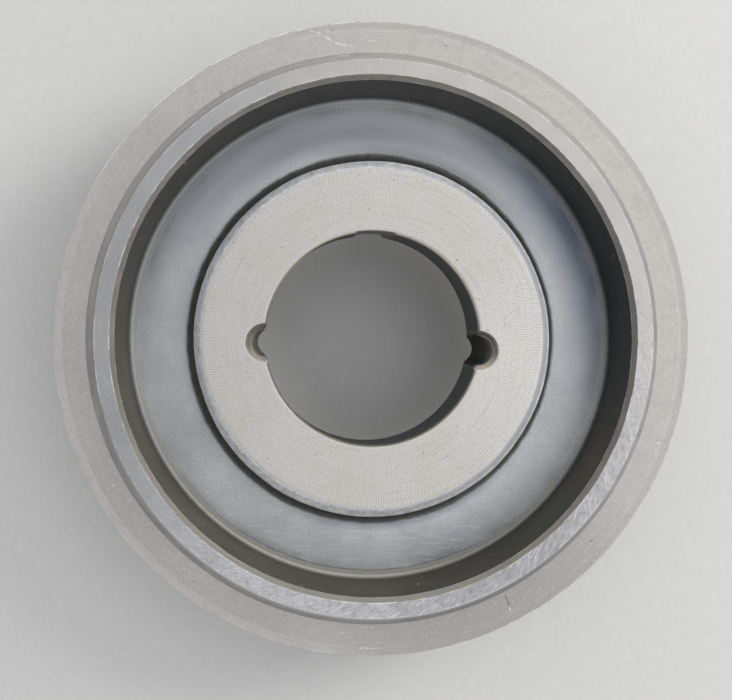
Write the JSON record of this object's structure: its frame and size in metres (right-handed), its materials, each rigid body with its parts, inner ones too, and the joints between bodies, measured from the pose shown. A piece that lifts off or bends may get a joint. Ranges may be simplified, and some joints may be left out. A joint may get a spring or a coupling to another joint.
{
  "type": "v belt pulley",
  "caption": "Grooved belt pulley: dished wheel centre with a tapered, notched bush seat, carrying a pressed-on grooved ring with bevelled rims.",
  "frame": {"origin": "on the wheel's axis at mid width", "axes": "+Z along the axis towards the small end of the bush seat; the two screw half holes lie just to the -Y side of the X axis"},
  "size_m": [0.2416, 0.2416, 0.058],
  "materials": {
    "wheel_centre": "machined faces and collar, satin grey cast web, dark cast wall",
    "groove_ring": "finely turned, satin, slightly warm grey",
    "lock_pins": "ground steel"
  },
  "bodies": {
    "root": {"wheel_centre": "wheel_centre", "groove_ring": "groove_ring", "lock_pins": "lock_pins"}
  },
  "joints": []
}
